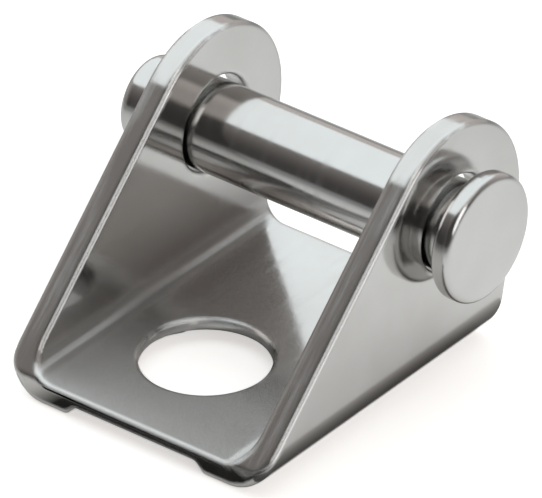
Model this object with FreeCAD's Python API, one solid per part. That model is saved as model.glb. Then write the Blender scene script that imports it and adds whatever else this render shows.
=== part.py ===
import FreeCAD, Part
import math
import os

# Fork fitting in polished stainless steel: one U-shaped body with two round-topped
# cheeks and a drilled floor, and one loose headed clevis pin through the cheeks.
#
# Frame: the origin is on the line through both cheek holes, midway between the
# cheeks. X runs along the pin towards its head, Y from the sloping front to the
# upright back, Z up from the foot rails. All sizes are in millimetres.

# Pin
pin_diameter = 6.0
pin_length_under_head = 25.85
pin_head_diameter = 8.6
pin_head_thickness = 1.4
pin_head_edge_radius = 0.4
pin_end_radius = 0.65
head_standoff = 1.25         # air between the head and the cheek, as the pin lies
ring_hole_diameter = 1.6     # cross hole for the retaining ring
ring_hole_from_end = 2.05
ring_hole_edge = 0.12        # broken edge at both mouths

# Cheeks
cheek_gap = 17.1             # clear width between them
cheek_thickness = 1.8
ear_radius = 6.8
ear_hole_clearance = 0.6     # on the diameter
pin_rest_gap = 0.12          # air left under the pin, which lies low in its holes
ear_hole_edge = 0.18         # broken edge, inside and outside

# Floor between the cheeks
floor_drop = 9.17            # floor below the centre of the ear holes
floor_thickness = 0.88
front_reach = 19.2           # front edge ahead of the ear holes
back_reach = 4.95            # back edge behind the ear holes, at floor level
inner_bend_radius = 1.7
outer_bend_radius = 2.9

# Foot rails under the two bends, and the hollow between them
foot_depth = 0.77            # rails below the floor's underside
foot_width = 4.8             # each rail, from the outside of the cheek
foot_side_run = 0.8          # how far the inner side of a rail leans
recess_corner_radius = 0.4
recess_lip_radius = 0.3      # front lip of the hollow

# Base hole
base_hole_diameter = 8.5
base_hole_ahead = 10.45      # its centre ahead of the ear holes
base_hole_aside = 1.2        # its centre off the middle plane, towards the pin's plain end
base_hole_edge = 0.18        # broken edge, above and below
relief_margin = 1.2          # round the hole, where the rails are cleared away

# Outline roundings
front_corner_radius = 1.2    # on the upright of each cheek
front_foot_radius = 0.45     # where that rounding runs out under the foot
heel_radius = 1.0            # back bottom corner, seen from the side
slope_foot_radius = 0.75     # where the sloping front turns down into the front edge
rim_radius = 0.3             # polished edge round the cheeks and the floor

# Places that follow from the sizes above
inner_x = cheek_gap / 2
outer_x = inner_x + cheek_thickness
foot_x = outer_x - foot_width
floor_z = -floor_drop
recess_z = floor_z - floor_thickness
seat_z = recess_z - foot_depth
front_y = -front_reach
ear_hole_radius = (pin_diameter + ear_hole_clearance) / 2
base_hole_radius = base_hole_diameter / 2
pin_z = pin_rest_gap - ear_hole_clearance / 2
head_x = outer_x + head_standoff
pin_end_x = head_x - pin_length_under_head
spare = 2.0                  # how far blanks and cutters run past the body
tiny = 0.001                 # two lengths closer than this are the same


def vector(x, y, z):
    return FreeCAD.Vector(x, y, z)


def line(start, end):
    return Part.makeLine(start, end)


def arc(centre, radius, first, last, across, up):
    """An arc between two angles in degrees, turning from direction across towards up."""
    points = []
    for angle in (first, (first + last) / 2, last):
        turn = math.radians(angle)
        step = across * (radius * math.cos(turn)) + up * (radius * math.sin(turn))
        points.append(centre + step)
    return Part.Arc(*points).toShape()


def solid_of(edges, run):
    """A closed outline drawn out along a vector."""
    face = Part.Face(Part.Wire(Part.__sortEdges__(edges)))
    return face.extrude(run)


def widest_x(reach):
    return max(abs(reach.XMin), abs(reach.XMax))


def section_solid():
    """The body seen from the front: cheeks, bends, floor and rails, drawn out along Y."""
    top = ear_radius + spare
    outer_low = outer_x - outer_bend_radius
    inner_low = inner_x - inner_bend_radius
    down = vector(0, 0, -1)
    edges = [
        line(vector(-outer_low, front_y, seat_z), vector(outer_low, front_y, seat_z)),
        line(vector(-inner_low, front_y, floor_z), vector(inner_low, front_y, floor_z)),
    ]
    bends = []
    for side in (-1, 1):
        outward = vector(side, 0, 0)
        outer_centre = vector(side * outer_low, front_y, seat_z + outer_bend_radius)
        inner_centre = vector(side * inner_low, front_y, floor_z + inner_bend_radius)
        outer_top = vector(side * outer_x, front_y, top)
        inner_top = vector(side * inner_x, front_y, top)
        bends.append(arc(outer_centre, outer_bend_radius, 0, 90, outward, down))
        edges += [
            bends[-1],
            line(vector(side * outer_x, front_y, outer_centre.z), outer_top),
            line(outer_top, inner_top),
            line(inner_top, vector(side * inner_x, front_y, inner_centre.z)),
            arc(inner_centre, inner_bend_radius, 0, 90, outward, down),
        ]
    solid = solid_of(edges, vector(0, ear_radius + spare - front_y, 0))
    solid = solid.cut(recess_cutter()).removeSplitter()
    for bend in bends:
        solid = round_front_corner(solid, bend)
    return solid.makeFillet(recess_lip_radius, recess_lip(solid))


def recess_cutter():
    """The hollow under the floor, between the two foot rails."""
    low = seat_z - spare
    low_x = foot_x + spare * foot_side_run / foot_depth
    top_x = foot_x - foot_side_run
    y = front_y - spare
    corners = [vector(-low_x, y, low), vector(-top_x, y, recess_z),
               vector(top_x, y, recess_z), vector(low_x, y, low)]
    outline = Part.makePolygon(corners + corners[:1])
    cutter = solid_of(outline.Edges, vector(0, ear_radius + 2 * spare - y, 0))
    ceiling = [edge for edge in cutter.Edges
               if edge.BoundBox.YLength > spare and edge.BoundBox.ZMin > seat_z]
    return cutter.makeFillet(recess_corner_radius, ceiling)


def round_front_corner(solid, bend):
    """Round one front corner: nearly sharp under the foot, full on the upright cheek."""
    edge = [own for own in solid.Edges
            if own.CenterOfMass.distanceToPoint(bend.CenterOfMass) < tiny][0]
    first_radius, last_radius = front_foot_radius, front_corner_radius
    if edge.Vertexes[0].Z > edge.Vertexes[-1].Z:
        first_radius, last_radius = last_radius, first_radius
    return solid.makeFillet(first_radius, last_radius, [edge])


def recess_lip(solid):
    """The edges round the front mouth of the hollow."""
    found = []
    for edge in solid.Edges:
        reach = edge.BoundBox
        in_front_face = reach.YMax < front_y + tiny
        if in_front_face and reach.ZMax < recess_z + tiny and widest_x(reach) < foot_x:
            found.append(edge)
    return found


def touch_angle(y, z, side):
    """Where a line from a point to the ear's round top touches it, in degrees from +Y."""
    away = math.hypot(y, z)
    return math.degrees(math.atan2(z, y) + side * math.acos(ear_radius / away))


def profile_solid():
    """The body seen from the side: sloping front, round ear, leaning back and heel."""
    x = -outer_x - spare
    along_y, along_z = vector(0, 1, 0), vector(0, 0, 1)
    front_touch = touch_angle(front_y, floor_z, -1) + 360
    back_touch = touch_angle(back_reach, floor_z, 1)
    ear = arc(vector(x, 0, 0), ear_radius, back_touch, front_touch, along_y, along_z)
    ear_front, ear_back = sorted([vertex.Point for vertex in ear.Vertexes],
                                 key=lambda point: point.y)
    lean = (ear_back.y - back_reach) / (ear_back.z - floor_z)
    heel = vector(x, back_reach + lean * (seat_z - floor_z), seat_z)
    toe = vector(x, front_y, seat_z)
    slope_foot = vector(x, front_y, floor_z)
    outline = Part.makePolygon([ear_back, heel, toe, slope_foot, ear_front])
    solid = solid_of(outline.Edges + [ear], vector(2 * (outer_x + spare), 0, 0))
    solid = round_corner(solid, heel, heel_radius)
    return round_corner(solid, slope_foot, slope_foot_radius)


def round_corner(solid, corner, radius):
    """Round the edge along X that starts at a corner of the side view."""
    edges = [edge for edge in solid.Edges
             if edge.BoundBox.YLength + edge.BoundBox.ZLength < tiny
             and min(end.Point.distanceToPoint(corner) for end in edge.Vertexes) < tiny]
    return solid.makeFillet(radius, edges)


def rim_edges(body):
    """The edges that polishing has rounded, all round both faces of the U."""
    found = []
    for edge in body.Edges:
        reach = edge.BoundBox
        along_body = reach.YLength > spare and reach.ZLength < tiny
        under_floor = reach.ZMax < floor_z - slope_foot_radius
        if not along_body and not under_floor:
            found.append(edge)
    return found


def hole_rims(body, radius):
    """The round edges of a hole, known by their size."""
    found = []
    for edge in body.Edges:
        reach = edge.BoundBox
        flat, short, long = sorted([reach.XLength, reach.YLength, reach.ZLength])
        misfit = abs(short - 2 * radius) + abs(long - 2 * radius)
        if flat < tiny and misfit < radius / 100:
            found.append(edge)
    return found


def fork_body():
    body = section_solid().common(profile_solid()).removeSplitter()
    body = body.makeFillet(rim_radius, rim_edges(body))
    base_centre = vector(-base_hole_aside, -base_hole_ahead, seat_z - spare)
    relief = Part.makeCylinder(base_hole_radius + relief_margin, spare + foot_depth, base_centre)
    base_hole = Part.makeCylinder(base_hole_radius, floor_drop, base_centre)
    ear_holes = Part.makeCylinder(ear_hole_radius, 2 * (outer_x + spare),
                                  vector(-outer_x - spare, 0, 0), vector(1, 0, 0))
    body = body.cut(relief).removeSplitter().cut(base_hole).cut(ear_holes)
    body = body.makeChamfer(ear_hole_edge, hole_rims(body, ear_hole_radius))
    return body.makeChamfer(base_hole_edge, hole_rims(body, base_hole_radius))


def clevis_pin():
    along_x = vector(1, 0, 0)
    shank = Part.makeCylinder(pin_diameter / 2, pin_length_under_head + pin_head_thickness / 2,
                              vector(pin_end_x, 0, pin_z), along_x)
    head = Part.makeCylinder(pin_head_diameter / 2, pin_head_thickness,
                             vector(head_x, 0, pin_z), along_x)
    plain_end = [edge for edge in shank.Edges if edge.BoundBox.XMax < pin_end_x + tiny]
    head_rims = [edge for edge in head.Edges if edge.BoundBox.XLength < tiny]
    pin = shank.makeFillet(pin_end_radius, plain_end)
    pin = pin.fuse(head.makeFillet(pin_head_edge_radius, head_rims)).removeSplitter()
    ring_x = pin_end_x + ring_hole_from_end
    ring_hole = Part.makeCylinder(ring_hole_diameter / 2, 2 * pin_diameter,
                                  vector(ring_x, 0, pin_z - pin_diameter))
    pin = pin.cut(ring_hole)
    mouths = [edge for edge in pin.Edges
              if abs(edge.BoundBox.Center.x - ring_x) < tiny
              and edge.BoundBox.XLength > ring_hole_diameter / 2]
    return pin.makeChamfer(ring_hole_edge, mouths)


os.makedirs("parts", exist_ok=True)
fork_body().exportStep("parts/fork_body.step")
clevis_pin().exportStep("parts/clevis_pin.step")
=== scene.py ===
import bpy
import math
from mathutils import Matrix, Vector


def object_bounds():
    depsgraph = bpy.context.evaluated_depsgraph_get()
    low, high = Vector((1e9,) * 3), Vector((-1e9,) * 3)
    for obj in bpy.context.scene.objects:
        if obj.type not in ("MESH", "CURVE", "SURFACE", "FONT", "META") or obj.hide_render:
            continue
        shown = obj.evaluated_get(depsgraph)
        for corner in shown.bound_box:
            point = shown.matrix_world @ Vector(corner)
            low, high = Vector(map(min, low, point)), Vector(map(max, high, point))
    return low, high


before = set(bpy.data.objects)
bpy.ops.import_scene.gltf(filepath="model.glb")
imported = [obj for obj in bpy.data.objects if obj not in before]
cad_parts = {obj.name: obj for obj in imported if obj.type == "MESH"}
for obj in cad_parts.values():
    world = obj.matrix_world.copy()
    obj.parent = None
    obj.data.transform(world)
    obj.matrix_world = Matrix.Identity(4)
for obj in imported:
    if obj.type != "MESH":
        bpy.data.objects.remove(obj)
cad_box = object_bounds()


# The fork body: one piece of thick stainless plate, pressed to a U with round-topped
# cheeks and a drilled floor, then polished by hand on a felt wheel until it mirrors.
# The wheel leaves long fine lines, a faint waviness and softly rounded rims, which are painted
# lighter as highlights.
def feed(tree, socket, value):
    """Link a socket to what another node gives, or set it to a fixed value."""
    if isinstance(value, bpy.types.NodeSocket):
        tree.links.new(value, socket)
    else:
        socket.default_value = value


def add_node(tree, kind, place, **inputs):
    node = tree.nodes.new(kind)
    node.location = place
    for name, value in inputs.items():
        feed(tree, node.inputs[name.replace("_", " ")], value)
    return node


def noise(tree, place, where, scale, detail, roughness):
    return add_node(tree, "ShaderNodeTexNoise", place, Vector=where, Scale=scale,
                    Detail=detail, Roughness=roughness).outputs["Fac"]


def calculate(tree, kind, operation, place, *values):
    node = add_node(tree, kind, place)
    node.operation = operation
    for socket, value in zip(node.inputs, values):
        feed(tree, socket, value)
    return node


def number(tree, operation, place, *values):
    return calculate(tree, "ShaderNodeMath", operation, place, *values).outputs[0]


def vector(tree, operation, place, *values):
    return calculate(tree, "ShaderNodeVectorMath", operation, place, *values).outputs["Vector"]


def measure(tree, operation, place, *values):
    """One number from two directions or two places."""
    return calculate(tree, "ShaderNodeVectorMath", operation, place, *values).outputs["Value"]


def ramp(tree, place, value, start, end, low=0.0, high=1.0):
    """Low where the value is at start, high where it is at end, and even in between."""
    return add_node(tree, "ShaderNodeMapRange", place, Value=value, From_Min=start,
                    From_Max=end, To_Min=low, To_Max=high).outputs[0]


def blend(tree, place, factor, first, second):
    """The first colour where the factor is 0, the second where it is 1."""
    node = add_node(tree, "ShaderNodeMix", place)
    node.data_type = "RGBA"
    feed(tree, node.inputs["Factor"], factor)
    for name, colour in (("A", first), ("B", second)):
        is_fixed = isinstance(colour, tuple)
        feed(tree, node.inputs[name], (*colour, 1.0) if is_fixed else colour)
    return node.outputs["Result"]


def polished_steel(name, shade, bright, stroke_scale, haze, streaks, rim_width, pressed=None):
    """Steel off the felt wheel: two near greys, fine lines along the stroke, rims painted lighter
    as highlights.
    """
    # Painted highlight: the light grey laid on the rounded rims.
    highlight_grey = (0.80, 0.80, 0.79)
    # Painted shade: the dark warm brown for the inner corners.
    corner_shade_brown = (0.24, 0.22, 0.21)

    steel = bpy.data.materials.new(name)
    steel.use_nodes = True
    tree = steel.node_tree
    surface = tree.nodes["Principled BSDF"]
    surface.inputs["Metallic"].default_value = 1.0
    here = add_node(tree, "ShaderNodeTexCoord", (-1900, 0)).outputs["Object"]

    normal = add_node(tree, "ShaderNodeBevel", (-1900, -700), Radius=rim_width).outputs[0]
    flat = add_node(tree, "ShaderNodeNewGeometry", (-1900, -900)).outputs["Normal"]
    unturned = measure(tree, "DOT_PRODUCT", (-1700, -900), normal, flat)
    # Painted highlight: where the shading turns at a rounded rim, the colour goes toward the
    # light grey.
    painted_highlight = ramp(tree, (-1500, -900), unturned, start=0.995, end=0.90)
    satin_and_sheen = corner_shade = None
    if pressed:
        normal, satin_and_sheen, corner_shade = pressed(tree, here, normal)

    clouds = noise(tree, (-1100, 400), here, scale=160.0, detail=3.0, roughness=0.55)
    stroke = add_node(tree, "ShaderNodeMapping", (-1300, 0), Vector=here, Scale=stroke_scale)
    lines = noise(tree, (-1100, 0), stroke.outputs[0], scale=900.0, detail=5.0, roughness=0.7)
    waves = noise(tree, (-1100, -400), here, scale=210.0, detail=1.0, roughness=0.4)

    gloss = ramp(tree, (-650, 0), lines, start=0.50, end=0.66, low=haze, high=streaks)
    if satin_and_sheen:
        gloss = number(tree, "MAXIMUM", (-450, 0), gloss, satin_and_sheen)
        # Painted light: the satin floor and the dull crease are also painted toward the light
        # highlight grey.
        painted_highlight = number(tree, "MAXIMUM", (-450, 200), painted_highlight, satin_and_sheen)
    tree.links.new(gloss, surface.inputs["Roughness"])

    cloudy = ramp(tree, (-700, 400), clouds, start=0.32, end=0.68)
    body = blend(tree, (-450, 400), cloudy, shade, bright)
    # Painted shade: low in the inner corners the colour goes toward the dark warm brown.
    if corner_shade:
        body = blend(tree, (-320, 400), corner_shade, body, corner_shade_brown)
    surface_colour = blend(tree, (-220, 300), painted_highlight, body, highlight_grey)
    tree.links.new(surface_colour, surface.inputs["Base Color"])

    grooves = add_node(tree, "ShaderNodeBump", (-450, -200), Height=lines, Normal=normal,
                       Strength=0.03, Distance=0.00002).outputs[0]
    swell = add_node(tree, "ShaderNodeBump", (-220, -200), Height=waves, Normal=grooves,
                     Strength=0.06, Distance=0.0002).outputs[0]
    tree.links.new(swell, surface.inputs["Normal"])
    return steel


def tight_bend(tree, normal, facing, sideways, in_bend):
    """The press leaves the inner bends tight in the middle and nearly flat beside it."""
    tightness = 9.0
    tight_x = number(tree, "MULTIPLY", (-1300, -500),
                     number(tree, "SIGN", (-1500, -450), facing["X"]),
                     number(tree, "POWER", (-1400, -550), sideways, tightness))
    upward = number(tree, "MAXIMUM", (-1500, -650), facing["Z"], 0.0)
    tight_z = number(tree, "POWER", (-1400, -650), upward, tightness)
    across = add_node(tree, "ShaderNodeCombineXYZ", (-1150, -600), X=tight_x, Z=tight_z)
    tight = vector(tree, "NORMALIZE", (-1000, -600), across.outputs[0])
    change = vector(tree, "SUBTRACT", (-850, -600), tight, normal)
    return vector(tree, "MULTIPLY_ADD", (-700, -600), change, in_bend, normal)


def bowed_floor(tree, normal, facing, at):
    """The press also bows the floor: from the left bend to its middle it leans more and
    more to the left, and on the right it keeps that lean."""
    bow = 0.105
    on_floor = ramp(tree, (-1300, -1100), facing["Z"], start=0.985, end=0.998)
    slope = ramp(tree, (-1300, -1250), at["X"], start=-0.0085, end=-0.002, high=-bow)
    lean = add_node(tree, "ShaderNodeCombineXYZ", (-900, -1100),
                    X=number(tree, "MULTIPLY", (-1100, -1100), on_floor, slope))
    leaning = vector(tree, "ADD", (-500, -700), normal, lean.outputs[0])
    return vector(tree, "NORMALIZE", (-350, -700), leaning)


def satin_and_sheen_floor(tree, here, facing, at, along):
    """Ahead of the pin the wheel doesn't reach the floor, which keeps a fine satin grain; the
    same mask also paints that floor lighter, as painted light.
    """
    mirror, satin_and_sheen = 0.09, 0.48
    grain = noise(tree, (-1300, -1600), here, scale=42000.0, detail=1.0, roughness=0.5)
    unreached = number(tree, "MULTIPLY", (-1100, -1400),
                       ramp(tree, (-1300, -1350), at["Y"], start=-0.005, end=-0.014, high=0.22),
                       ramp(tree, (-1300, -1450), at["X"], start=0.008, end=-0.006, low=0.6))
    dulled = number(tree, "ADD", (-900, -1500), grain, unreached)
    to_the_bend = number(tree, "MULTIPLY", (-900, -1300), along,
                         ramp(tree, (-1100, -1250), facing["Z"], start=0.80, end=0.95))
    return number(tree, "MULTIPLY", (-500, -1400), to_the_bend,
                  ramp(tree, (-700, -1400), dulled, start=0.54, end=0.70, low=mirror, high=satin_and_sheen))


def dull_crease(tree, facing, sideways, in_bend):
    """The middle of each bend is too narrow for the wheel and stays a little dull, and it is
    painted a little lighter as a highlight.
    """
    dull = 0.34
    mid_bend = number(tree, "MULTIPLY", (-1300, -1750), sideways, facing["Z"])
    return number(tree, "MULTIPLY", (-900, -1750), in_bend,
                  ramp(tree, (-1100, -1750), mid_bend, start=0.10, end=0.42, high=dull))


def painted_corner_shade(tree, facing, at, sideways):
    """Painted shade: darker toward a warm brown low on the inner cheeks, in the corners where
    shade falls.
    """
    deepest_shade = 0.72
    aside = number(tree, "ABSOLUTE", (-1450, -1950), at["X"])
    inside = ramp(tree, (-1300, -1950), aside, start=0.0087, end=0.0090, low=1.0, high=0.0)
    low_down = ramp(tree, (-1300, -2100), at["Z"], start=-0.0030, end=-0.0072, high=deepest_shade)
    upright = ramp(tree, (-1300, -2250), sideways, start=0.45, end=0.95)
    on_cheek = number(tree, "MULTIPLY", (-1100, -2100), low_down, upright)
    return number(tree, "MULTIPLY", (-900, -2000), inside, on_cheek)


def pressed_steel(tree, here, normal):
    """How the pressed U faces, where it stays satin and is painted lighter, and where shade is
    painted into the corners.
    """
    facing = add_node(tree, "ShaderNodeSeparateXYZ", (-1700, -600), Vector=normal).outputs
    at = add_node(tree, "ShaderNodeSeparateXYZ", (-1700, -1100), Vector=here).outputs
    sideways = number(tree, "ABSOLUTE", (-1500, -550), facing["X"])
    endways = number(tree, "ABSOLUTE", (-1450, -800), facing["Y"])
    along = ramp(tree, (-1300, -800), endways, start=0.04, end=0.15, low=1.0, high=0.0)
    in_bend = number(tree, "MULTIPLY", (-1100, -850), along,
                     ramp(tree, (-1300, -950), facing["Z"], start=0.0, end=0.05))
    bent = tight_bend(tree, normal, facing, sideways, in_bend)
    satin_and_sheen = number(tree, "MAXIMUM", (-350, -1500),
                   satin_and_sheen_floor(tree, here, facing, at, along),
                   dull_crease(tree, facing, sideways, in_bend))
    corner_shade = painted_corner_shade(tree, facing, at, sideways)
    return bowed_floor(tree, bent, facing, at), satin_and_sheen, corner_shade


fork_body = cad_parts["fork_body"]
fork_body.material_slots[0].material = polished_steel(
    "fork_steel", shade=(0.61, 0.60, 0.585), bright=(0.665, 0.66, 0.65),
    stroke_scale=(1.0, 0.06, 0.06), haze=0.11, streaks=0.24, rim_width=0.00045,
    pressed=pressed_steel)


# The clevis pin: a round bar turned down under a flat head, its edges rounded and its
# plain end drilled across for a ring. It is polished in the lathe, so its fine lines
# run round it, and it lies loose in the cheeks.
clevis_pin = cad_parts["clevis_pin"]
clevis_pin.material_slots[0].material = polished_steel(
    "pin_steel", shade=(0.63, 0.625, 0.61), bright=(0.68, 0.675, 0.67),
    stroke_scale=(1.0, 0.05, 0.05), haze=0.13, streaks=0.21, rim_width=0.0002)


# The table: a wide sheet of white paper that the part stands on. Polished steel sees
# a painted pool of light beside the part that fades outwards, with painted shade in the
# nooks, while the camera sees it even and pale.
floor_z = cad_box[0].z
table_half_width = 4.0
paper_white = (0.90, 0.90, 0.90)
seen_glow = 0.60
mirrored_glow = 0.225
pool_centre = (0.018, 0.0, floor_z)
nook_reach = 0.008


def warm(grey):
    """A grey with the faint warmth of the paper."""
    return (grey, 0.97 * grey, 0.94 * grey, 1.0)


def lay_sheet(name, x_reach, y_reach, z, paper):
    """A flat sheet of paper at the given height, which is no piece of the part."""
    left, right = x_reach
    front, back = y_reach
    mesh = bpy.data.meshes.new(name)
    mesh.from_pydata([(left, front, z), (right, front, z), (right, back, z), (left, back, z)],
                     [], [(0, 1, 2, 3)])
    mesh.materials.append(paper)
    sheet = bpy.data.objects.new(name, mesh)
    bpy.context.scene.collection.objects.link(sheet)
    return sheet


white_paper = bpy.data.materials.new("white_paper")
white_paper.use_nodes = True
tree = white_paper.node_tree
matt = tree.nodes["Principled BSDF"]
matt.inputs["Roughness"].default_value = 0.9
matt.inputs["Specular IOR Level"].default_value = 0.1
matt.inputs["Emission Color"].default_value = warm(1.0)

ray = add_node(tree, "ShaderNodeLightPath", (-1500, 0)).outputs
in_metal = ray["Is Glossy Ray"]
spot = add_node(tree, "ShaderNodeNewGeometry", (-1500, -300)).outputs["Position"]
away = measure(tree, "DISTANCE", (-1300, -300), spot, pool_centre)
# Painted light: reflections see the paper glow in a pool around the part, and black beyond it.
painted_pool = ramp(tree, (-1100, -300), away, start=0.012, end=0.105, low=1.0, high=0.30)
outside_pool = number(tree, "SUBTRACT", (-800, -400), 1.0, painted_pool)
hidden = number(tree, "MULTIPLY", (-700, -300), in_metal, outside_pool)
paper_colour = blend(tree, (-400, 200), hidden, paper_white, (0.0, 0.0, 0.0))
tree.links.new(paper_colour, matt.inputs["Base Color"])

seen = number(tree, "MAXIMUM", (-700, 0), ray["Is Camera Ray"], ray["Is Transmission Ray"])
seen = number(tree, "MULTIPLY", (-550, 0), seen, seen_glow)
# Painted shade: the glow that reflections see darkens in the nooks beside the part.
open_air = add_node(tree, "ShaderNodeAmbientOcclusion", (-1100, -600),
                    Distance=nook_reach).outputs["AO"]
mirrored = number(tree, "MULTIPLY", (-550, -200),
                  number(tree, "MULTIPLY", (-650, -200), in_metal, painted_pool),
                  number(tree, "MULTIPLY", (-650, -600), open_air, mirrored_glow))
glow = number(tree, "ADD", (-400, -100), seen, mirrored)
tree.links.new(glow, matt.inputs["Emission Strength"])
table_reach = (-table_half_width, table_half_width)
lay_sheet("table", table_reach, table_reach, floor_z, white_paper)


# The cards: three small flat grey sheets of painted shade that lie on the table ahead of
# the front, along the right side and under the floor behind the base hole. Only reflections
# see them, so that the polished front and side mirror painted shade where the table lies in
# shade.
card_lift = 0.0001


def plain_shade_card(name, grey):
    """A matt sheet of one warm grey, for painted shade that only reflections see."""
    paper = bpy.data.materials.new(name)
    paper.use_nodes = True
    felt = paper.node_tree.nodes["Principled BSDF"]
    felt.inputs["Specular IOR Level"].default_value = 0.0
    felt.inputs["Base Color"].default_value = warm(grey)
    return paper


def graded_shade_card(name, tones):
    """The same painted shade, but through the given greys at the given places along X."""
    paper = plain_shade_card(name, tones[0][1])
    tree = paper.node_tree
    first_x, last_x = tones[0][0], tones[-1][0]
    spot = add_node(tree, "ShaderNodeNewGeometry", (-1100, 0)).outputs["Position"]
    out_right = add_node(tree, "ShaderNodeSeparateXYZ", (-900, 0), Vector=spot).outputs["X"]
    shades = add_node(tree, "ShaderNodeValToRGB", (-500, 0),
                      Fac=ramp(tree, (-700, 0), out_right, start=first_x, end=last_x))
    stops = shades.color_ramp.elements
    for x, _ in tones[1:-1]:
        stops.new((x - first_x) / (last_x - first_x))
    for stop, (_, grey) in zip(stops, tones):
        stop.color = warm(grey)
    felt = tree.nodes["Principled BSDF"]
    tree.links.new(shades.outputs["Color"], felt.inputs["Base Color"])
    return paper


front_shade = graded_shade_card(
    "front_shade_card", ((-0.0118, 0.90), (-0.0090, 0.80), (-0.0068, 0.03), (0.0134, 0.03)))
side_shade = graded_shade_card(
    "side_shade_card", ((0.0095, 0.16), (0.0104, 0.26), (0.0116, 0.45), (0.0130, 0.80)))
for name, x_reach, y_reach, paper in (
        ("front_shade_card", (-0.0118, 0.0134), (-0.0265, -0.0195), front_shade),
        ("side_shade_card", (0.0095, 0.0130), (-0.0195, 0.008), side_shade),
        ("hole_shade_card", (-0.0042, 0.0045), (-0.0080, -0.0040), plain_shade_card("hole_shade_card", 0.48))):
    card = lay_sheet(name, x_reach, y_reach, floor_z + card_lift, paper)
    card.visible_camera = False
    card.visible_diffuse = False
    card.visible_shadow = False


# The lamps and the room: one broad round soft box high over the left shoulder of the
# part, a smaller one on the right, and a dim warm room, darkest in front, with a paler
# patch of ceiling over the right shoulder. The room is dark where the soft box hangs.
box_distance = 1.6
box_radius = 1.63
box_margin = 0.005
over_left_shoulder = Vector((-0.40, 0.27, 0.876)).normalized()
over_right_shoulder = Vector((0.52, -0.05, 0.85)).normalized()
to_the_right = Vector((0.85, -0.29, 0.44)).normalized()
to_the_back = (-0.6, 0.8, 0.0)


def hang_box(name, toward, size, energy, colour):
    """A round soft box that hangs in the given direction and faces the part."""
    lamp = bpy.data.lights.new(name, "AREA")
    lamp.shape = "DISK"
    lamp.size = size
    lamp.energy = energy
    lamp.color = colour
    stand = bpy.data.objects.new(name, lamp)
    stand.location = toward * box_distance
    stand.rotation_mode = "QUATERNION"
    stand.rotation_quaternion = toward.to_track_quat("Z", "Y")
    stand.visible_camera = False
    bpy.context.scene.collection.objects.link(stand)


hang_box("soft_box", over_left_shoulder, size=2 * box_radius, energy=31.0,
         colour=(0.93, 0.985, 1.0))
hang_box("side_box", to_the_right, size=1.16, energy=6.0, colour=(1.0, 1.0, 1.0))

room = bpy.data.worlds.new("room")
bpy.context.scene.world = room
room.use_nodes = True
tree = room.node_tree
sky = tree.nodes["Background"]
sky.inputs["Color"].default_value = (1.0, 0.93, 0.89, 1.0)
toward = add_node(tree, "ShaderNodeTexCoord", (-900, 0)).outputs["Generated"]
depth = measure(tree, "DOT_PRODUCT", (-700, 0), toward, to_the_back)
front = ramp(tree, (-550, 100), depth, start=-0.35, end=-0.10, low=0.06, high=0.22)
back = ramp(tree, (-550, -100), depth, start=-0.10, end=0.98, high=0.40)
level = number(tree, "ADD", (-350, 0), front, back)
ceiling = measure(tree, "DOT_PRODUCT", (-700, 300), toward, over_right_shoulder)
pale_patch = ramp(tree, (-550, 300), ceiling, start=0.86, end=0.94, high=0.50)
level = number(tree, "ADD", (-250, 200), level, pale_patch)
box_edge = math.cos(math.atan(box_radius / box_distance))
off_axis = measure(tree, "DOT_PRODUCT", (-700, -300), toward, over_left_shoulder)
beside_box = ramp(tree, (-450, -300), off_axis, start=box_edge - box_margin,
                  end=box_edge + box_margin, low=1.0, high=0.0)
level = number(tree, "MULTIPLY", (-200, 0), level, beside_box)
tree.links.new(level, sky.inputs["Strength"])


# The camera: a long lens from the front and a little to the right, looking down on the
# part, level, at the distance where the cheeks close up as they do in the photograph.
heading, height = math.radians(38.17), math.radians(32.77)
distance = 0.7832
seen_width = 0.03396
aim_right, aim_up = -0.003310, -0.005031
film_width = 36.0
backward = Vector((math.sin(heading) * math.cos(height),
                   -math.cos(heading) * math.cos(height), math.sin(height)))
rightward = Vector((math.cos(heading), math.sin(heading), 0.0))
upward = backward.cross(rightward)
lens = bpy.data.cameras.new("camera")
lens.sensor_width = film_width
lens.lens = film_width * distance / seen_width
camera = bpy.data.objects.new("camera", lens)
camera.location = rightward * aim_right + upward * aim_up + backward * distance
camera.rotation_mode = "QUATERNION"
camera.rotation_quaternion = (-backward).to_track_quat("-Z", "Y")
bpy.context.scene.collection.objects.link(camera)
bpy.context.scene.camera = camera
bpy.context.scene.view_settings.view_transform = "Standard"
